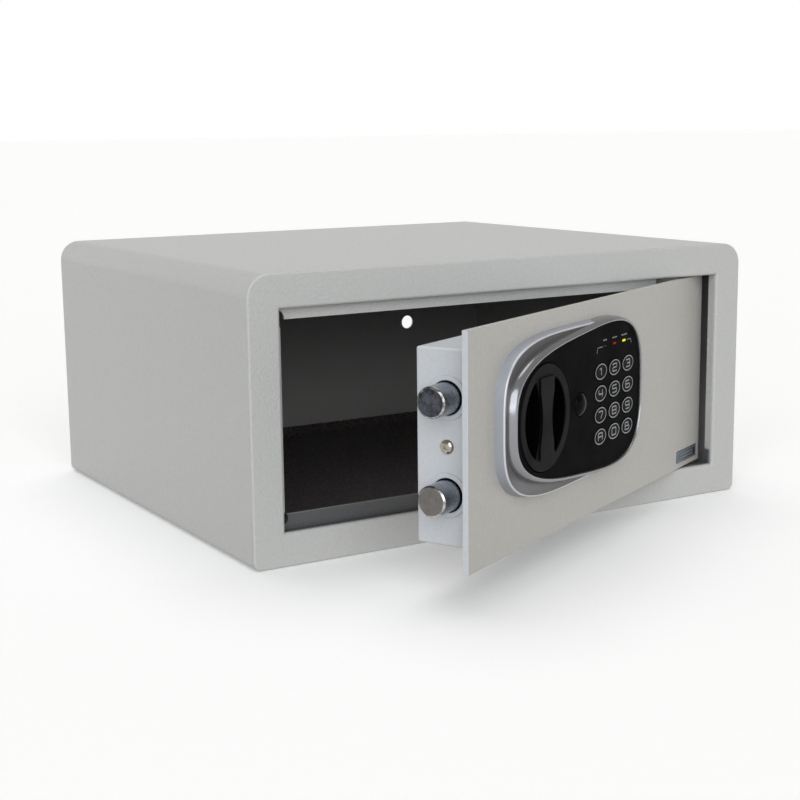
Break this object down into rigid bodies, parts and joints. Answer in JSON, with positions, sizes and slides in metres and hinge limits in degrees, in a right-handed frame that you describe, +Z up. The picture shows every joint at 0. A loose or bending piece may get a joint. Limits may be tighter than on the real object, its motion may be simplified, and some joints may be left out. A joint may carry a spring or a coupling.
{
  "type": "in room safe",
  "caption": "Compact steel safe standing ajar: rounded cabinet, hinged door with keypad and turn knob, two thrown round bolts behind it.",
  "frame": {"origin": "centre of the cabinet's underside, on the surface that the safe stands on", "axes": "+Z up, +Y from the door to the back, +X to the right as seen from the front; the door stands 26.8 degrees open"},
  "size_m": [0.43, 0.5227, 0.2],
  "materials": {
    "cabinet_paint": "pale grey powder coat with a fine orange-peel texture, satin",
    "door_paint": "pale grey powder coat with a fine orange-peel texture, satin",
    "carpet": "dark brown-black needle-punch carpet, short fuzzy pile",
    "bush_plastic": "natural moulded nylon",
    "bush_painted": "pale grey, the same paint as the cover",
    "zinc_steel": "bright zinc plate over steel",
    "bolt_chrome": "chromed steel, slightly mottled",
    "bezel_silver": "silver-painted moulding with a soft metallic sheen",
    "panel_black": "black moulding, satin gloss",
    "knob_black": "black moulding, fine satin",
    "key_black": "black keys with pale grey rings and characters",
    "cap_black": "polished black moulding",
    "brass": "turned brass",
    "led_green": "unlit green lens",
    "led_red": "dim red lens",
    "led_yellow": "lit yellow lens",
    "badge_grey": "dark blue-grey printed aluminium foil plate, left blank",
    "silicone": "grey silicone rubber",
    "circuit_green": "green solder mask",
    "component_black": "black moulding, fine texture",
    "battery_wrap": "printed foil wrap, plain",
    "wire_insulation": "grey and red PVC insulation",
    "reset_red": "red moulding"
  },
  "bodies": {
    "cabinet": {"outer_shell": "cabinet_paint", "back_panel": "cabinet_paint", "front_frame": "cabinet_paint", "floor_mat": "carpet", "hinge_bracket_upper": "cabinet_paint", "hinge_bracket_lower": "cabinet_paint", "pivot_bush_upper": "bush_plastic", "pivot_bush_lower": "bush_plastic", "bolt_keeper": "cabinet_paint"},
    "door": {"door_plate": "door_paint", "lock_box": "door_paint", "cover_screws": "zinc_steel", "bolt_bush_upper": "bush_painted", "bolt_bush_lower": "bush_painted", "hinge_lug_upper": "door_paint", "hinge_lug_lower": "door_paint", "hinge_pin_upper": "zinc_steel", "hinge_pin_lower": "zinc_steel", "lock_bezel": "bezel_silver", "fascia_panel": "panel_black", "fascia_screws": "zinc_steel", "key_membrane": "silicone", "keypad_board": "circuit_green", "led_green": "led_green", "led_red": "led_red", "led_yellow": "led_yellow", "badge_plate": "badge_grey", "spindle_bush": "bush_plastic", "guide_posts": "zinc_steel", "lock_cylinder": "zinc_steel", "solenoid_body": "component_black", "control_board": "circuit_green", "battery_box": "component_black", "battery_cells": "battery_wrap", "ribbon_cable": "wire_insulation", "lock_leads": "wire_insulation"},
    "knob": {"knob": "knob_black", "knob_spindle": "zinc_steel", "drive_cam": "brass"},
    "bolt_carriage": {"bolt_carriage": "zinc_steel", "live_bolt_upper": "bolt_chrome", "live_bolt_lower": "bolt_chrome", "bolt_screws": "zinc_steel"},
    "key_1": {"key_1": "key_black"},
    "key_2": {"key_2": "key_black"},
    "key_3": {"key_3": "key_black"},
    "key_4": {"key_4": "key_black"},
    "key_5": {"key_5": "key_black"},
    "key_6": {"key_6": "key_black"},
    "key_7": {"key_7": "key_black"},
    "key_8": {"key_8": "key_black"},
    "key_9": {"key_9": "key_black"},
    "key_a": {"key_a": "key_black"},
    "key_0": {"key_0": "key_black"},
    "key_b": {"key_b": "key_black"},
    "override_cap": {"override_cap": "cap_black"},
    "cylinder_plug": {"cylinder_plug": "brass"},
    "solenoid_plunger": {"solenoid_plunger": "zinc_steel"},
    "battery_cover": {"battery_cover": "component_black"},
    "reset_button": {"reset_button": "reset_red"}
  },
  "joints": [
    {"name": "door_swing", "type": "hinge", "parent": "cabinet", "child": "door", "pos_m": [0.1595, -0.1648, 0.1], "axis": [0, 0, 1], "range_deg": [-26.8, 68.2]},
    {"name": "knob_turn", "type": "hinge", "parent": "door", "child": "knob", "pos_m": [-0.06973, -0.29986, 0.1095], "axis": [-0.4509, 0.8926, 0], "range_deg": [0, 90]},
    {"name": "bolt_slide", "type": "slide", "parent": "door", "child": "bolt_carriage", "axis": [0.8926, 0.4509, 0], "range_m": [0, 0.02]},
    {"name": "press_1", "type": "slide", "parent": "door", "child": "key_1", "axis": [-0.4509, 0.8926, 0], "range_m": [0, 0.0008], "stiffness_N_per_m": 400, "springref_m": -0.001},
    {"name": "press_2", "type": "slide", "parent": "door", "child": "key_2", "axis": [-0.4509, 0.8926, 0], "range_m": [0, 0.0008], "stiffness_N_per_m": 400, "springref_m": -0.001},
    {"name": "press_3", "type": "slide", "parent": "door", "child": "key_3", "axis": [-0.4509, 0.8926, 0], "range_m": [0, 0.0008], "stiffness_N_per_m": 400, "springref_m": -0.001},
    {"name": "press_4", "type": "slide", "parent": "door", "child": "key_4", "axis": [-0.4509, 0.8926, 0], "range_m": [0, 0.0008], "stiffness_N_per_m": 400, "springref_m": -0.001},
    {"name": "press_5", "type": "slide", "parent": "door", "child": "key_5", "axis": [-0.4509, 0.8926, 0], "range_m": [0, 0.0008], "stiffness_N_per_m": 400, "springref_m": -0.001},
    {"name": "press_6", "type": "slide", "parent": "door", "child": "key_6", "axis": [-0.4509, 0.8926, 0], "range_m": [0, 0.0008], "stiffness_N_per_m": 400, "springref_m": -0.001},
    {"name": "press_7", "type": "slide", "parent": "door", "child": "key_7", "axis": [-0.4509, 0.8926, 0], "range_m": [0, 0.0008], "stiffness_N_per_m": 400, "springref_m": -0.001},
    {"name": "press_8", "type": "slide", "parent": "door", "child": "key_8", "axis": [-0.4509, 0.8926, 0], "range_m": [0, 0.0008], "stiffness_N_per_m": 400, "springref_m": -0.001},
    {"name": "press_9", "type": "slide", "parent": "door", "child": "key_9", "axis": [-0.4509, 0.8926, 0], "range_m": [0, 0.0008], "stiffness_N_per_m": 400, "springref_m": -0.001},
    {"name": "press_a", "type": "slide", "parent": "door", "child": "key_a", "axis": [-0.4509, 0.8926, 0], "range_m": [0, 0.0008], "stiffness_N_per_m": 400, "springref_m": -0.001},
    {"name": "press_0", "type": "slide", "parent": "door", "child": "key_0", "axis": [-0.4509, 0.8926, 0], "range_m": [0, 0.0008], "stiffness_N_per_m": 400, "springref_m": -0.001},
    {"name": "press_b", "type": "slide", "parent": "door", "child": "key_b", "axis": [-0.4509, 0.8926, 0], "range_m": [0, 0.0008], "stiffness_N_per_m": 400, "springref_m": -0.001},
    {"name": "cap_pull", "type": "slide", "parent": "door", "child": "override_cap", "axis": [0.4509, -0.8926, 0], "range_m": [0, 0.015]},
    {"name": "cylinder_turn", "type": "hinge", "parent": "door", "child": "cylinder_plug", "pos_m": [-0.02287, -0.27619, 0.1095], "axis": [-0.4509, 0.8926, 0], "range_deg": [0, 90]},
    {"name": "plunger_throw", "type": "slide", "parent": "door", "child": "solenoid_plunger", "axis": [0.4509, -0.8926, 0], "range_m": [0, 0.004]},
    {"name": "battery_cover_pull", "type": "slide", "parent": "door", "child": "battery_cover", "axis": [-0.4509, 0.8926, 0], "range_m": [0, 0.03]},
    {"name": "reset_press", "type": "slide", "parent": "door", "child": "reset_button", "axis": [0.4509, -0.8926, 0], "range_m": [0, 0.0015], "stiffness_N_per_m": 600, "springref_m": -0.001}
  ],
  "couplings": [
    {"joint": "bolt_slide", "follows": "knob_turn", "m_per_rad": 0.012732}
  ]
}
